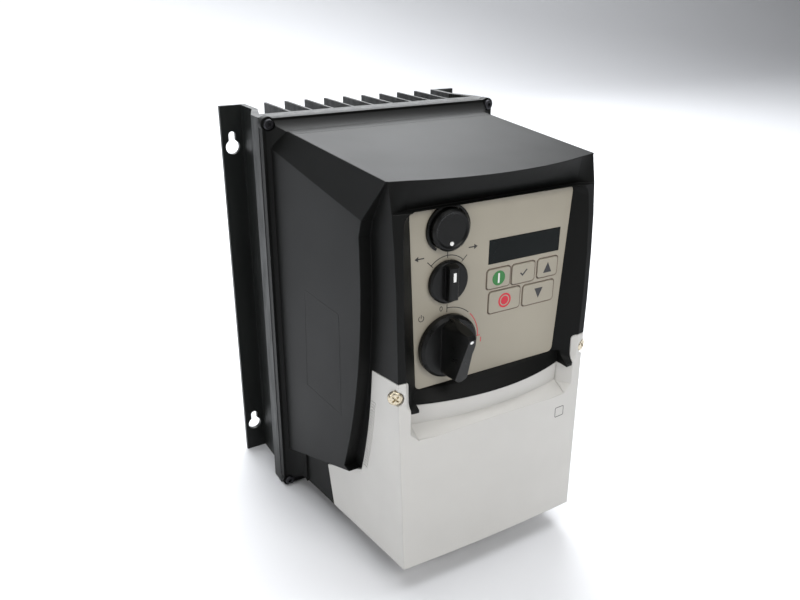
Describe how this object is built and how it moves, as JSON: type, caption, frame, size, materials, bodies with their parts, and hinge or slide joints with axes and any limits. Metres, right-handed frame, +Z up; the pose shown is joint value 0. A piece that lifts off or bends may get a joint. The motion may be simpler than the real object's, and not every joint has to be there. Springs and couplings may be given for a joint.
{
  "type": "variable frequency drive",
  "caption": "Wall-mounted sealed motor drive with finned heatsink, black housing, grey terminal cover, keypad with display, speed dial, direction selector and isolator handle.",
  "frame": {"origin": "centre of the round entries of the four keyholes, on the wall plane behind the heatsink flanges", "axes": "+X to the right as seen from the front, +Z up, -Y out of the front panel, +Y into the wall"},
  "size_m": [0.161, 0.1815, 0.233],
  "materials": {
    "heatsink_black": "black anodised, finely ribbed fins",
    "housing_black": "fine spark-eroded moulding texture",
    "cover_grey": "light warm grey, fine texture",
    "panel_beige": "pale warm grey film on a plate",
    "key_pad": "pale warm grey film, outlined",
    "window_dark": "dark smoked filter",
    "knob_black": "smooth satin black",
    "seal_rubber": "soft black",
    "dark_screw": "blackened steel",
    "plated_screw": "yellowish nickel plate",
    "plug_black": "satin black",
    "part_black": "satin black",
    "part_grey": "satin grey",
    "board_green": "solder resist on glass laminate",
    "capacitor_sleeve": "shrunk sleeve with a bright top",
    "copper_winding": "enamelled wire on a ring core",
    "terminal_green": "satin green"
  },
  "bodies": {
    "drive": {"heatsink": "heatsink_black", "rim_gasket": "seal_rubber", "enclosure": "housing_black", "corner_screws": "dark_screw", "cover_seal": "seal_rubber", "control_panel": "panel_beige", "display_window": "window_dark", "display_module": "part_black", "keypad_board": "board_green", "key_switches": "part_black", "pot_collar": "knob_black", "pot_body": "part_black", "selector_switch": "part_grey", "isolator_switch": "part_grey", "isolator_screws": "plated_screw", "entry_plugs": "plug_black", "entry_seals": "seal_rubber", "power_board": "board_green", "power_board_standoffs": "plated_screw", "power_board_screws": "plated_screw", "power_module": "part_black", "bus_capacitors": "capacitor_sleeve", "filter_choke": "copper_winding", "relay": "part_black", "control_board": "board_green", "control_board_standoffs": "plated_screw", "ribbon_cable": "part_grey", "power_terminals": "terminal_green", "power_terminal_screws": "plated_screw", "control_terminals": "terminal_green", "network_socket": "part_black", "earth_screws": "plated_screw"},
    "speed_dial": {"pot_knob": "knob_black", "pot_shaft": "plated_screw"},
    "direction_selector": {"selector_knob": "knob_black", "selector_shaft": "part_black"},
    "isolator_handle": {"isolator_knob": "knob_black", "isolator_shaft": "plated_screw"},
    "cover": {"terminal_cover": "cover_grey"},
    "left_cover_screw": {"cover_screw_left": "plated_screw"},
    "right_cover_screw": {"cover_screw_right": "plated_screw"},
    "start_key": {"key_start": "key_pad"},
    "ok_key": {"key_ok": "key_pad"},
    "up_key": {"key_up": "key_pad"},
    "stop_key": {"key_stop": "key_pad"},
    "down_key": {"key_down": "key_pad"}
  },
  "joints": [
    {"name": "speed_dial_turn", "type": "hinge", "parent": "drive", "child": "speed_dial", "pos_m": [-0.0275, -0.1595, 0.0809], "axis": [0, 1, 0], "range_deg": [0, 300]},
    {"name": "direction_turn", "type": "hinge", "parent": "drive", "child": "direction_selector", "pos_m": [-0.0269, -0.1595, 0.0547], "axis": [0, 1, 0], "range_deg": [-45, 45]},
    {"name": "isolator_turn", "type": "hinge", "parent": "drive", "child": "isolator_handle", "pos_m": [-0.0263, -0.1595, 0.0213], "axis": [0, 1, 0], "range_deg": [0, 90]},
    {"name": "cover_pull", "type": "slide", "parent": "drive", "child": "cover", "axis": [0, -1, 0], "range_m": [0, 0.12]},
    {"name": "left_cover_screw_turn", "type": "hinge", "parent": "cover", "child": "left_cover_screw", "pos_m": [-0.059, -0.1667, 0.0028], "axis": [-0.4067, -0.9135, 0], "continuous": true},
    {"name": "right_cover_screw_turn", "type": "hinge", "parent": "cover", "child": "right_cover_screw", "pos_m": [0.059, -0.1667, 0.0028], "axis": [0.4067, -0.9135, 0], "continuous": true},
    {"name": "start_key_press", "type": "slide", "parent": "drive", "child": "start_key", "axis": [0, 1, 0], "range_m": [0, 0.0005], "stiffness_N_per_m": 1200, "springref_m": -0.0003},
    {"name": "ok_key_press", "type": "slide", "parent": "drive", "child": "ok_key", "axis": [0, 1, 0], "range_m": [0, 0.0005], "stiffness_N_per_m": 1200, "springref_m": -0.0003},
    {"name": "up_key_press", "type": "slide", "parent": "drive", "child": "up_key", "axis": [0, 1, 0], "range_m": [0, 0.0005], "stiffness_N_per_m": 1200, "springref_m": -0.0003},
    {"name": "stop_key_press", "type": "slide", "parent": "drive", "child": "stop_key", "axis": [0, 1, 0], "range_m": [0, 0.0005], "stiffness_N_per_m": 1200, "springref_m": -0.0003},
    {"name": "down_key_press", "type": "slide", "parent": "drive", "child": "down_key", "axis": [0, 1, 0], "range_m": [0, 0.0005], "stiffness_N_per_m": 1200, "springref_m": -0.0003}
  ]
}
